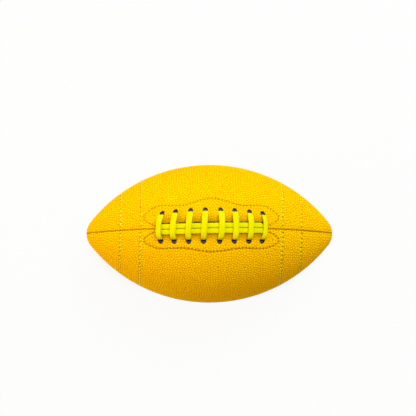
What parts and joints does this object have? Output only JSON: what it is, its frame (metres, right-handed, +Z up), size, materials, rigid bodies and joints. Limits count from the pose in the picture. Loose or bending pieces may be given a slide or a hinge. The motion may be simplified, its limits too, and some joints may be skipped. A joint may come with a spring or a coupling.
{
  "type": "american football",
  "caption": "Prolate laced ball of sewn leather panels over fabric linings and a rubber bladder, with flat lacing along one seam and an inflation valve.",
  "frame": {"origin": "on the ground under the middle of the ball, which lies on its long side with the lacing on top", "axes": "+X along the ball from tip to tip, +Y to the left lace panel, +Z up through the middle of the lacing"},
  "size_m": [0.254, 0.1416, 0.1471],
  "materials": {
    "cover": "pebbled, semi-gloss yellow",
    "lining": "matt woven, off-white",
    "facing": "matt dark blue-grey",
    "lace": "smooth satin bright yellow",
    "thread": "twisted, satin yellow-green",
    "bladder": "matt black",
    "valve": "matt black"
  },
  "bodies": {
    "root": {"panel_lace_left": "cover", "lining_lace_left": "lining", "panel_lace_right": "cover", "lining_lace_right": "lining", "panel_base_left": "cover", "lining_base_left": "lining", "panel_base_right": "cover", "lining_base_right": "lining", "facing_left": "facing", "thread_facing_left": "thread", "thread_stripe_left_1": "thread", "thread_stripe_left_2": "thread", "thread_stripe_left_3": "thread", "thread_stripe_left_4": "thread", "facing_right": "facing", "thread_facing_right": "thread", "thread_stripe_right_1": "thread", "thread_stripe_right_2": "thread", "thread_stripe_right_3": "thread", "thread_stripe_right_4": "thread", "thread_seam_front": "thread", "thread_seam_back": "thread", "thread_seam_left": "thread", "thread_seam_right": "thread", "thread_seam_base": "thread", "tongue": "facing", "lace": "lace", "bladder": "bladder", "valve_body": "valve", "valve_core": "valve"}
  },
  "joints": []
}
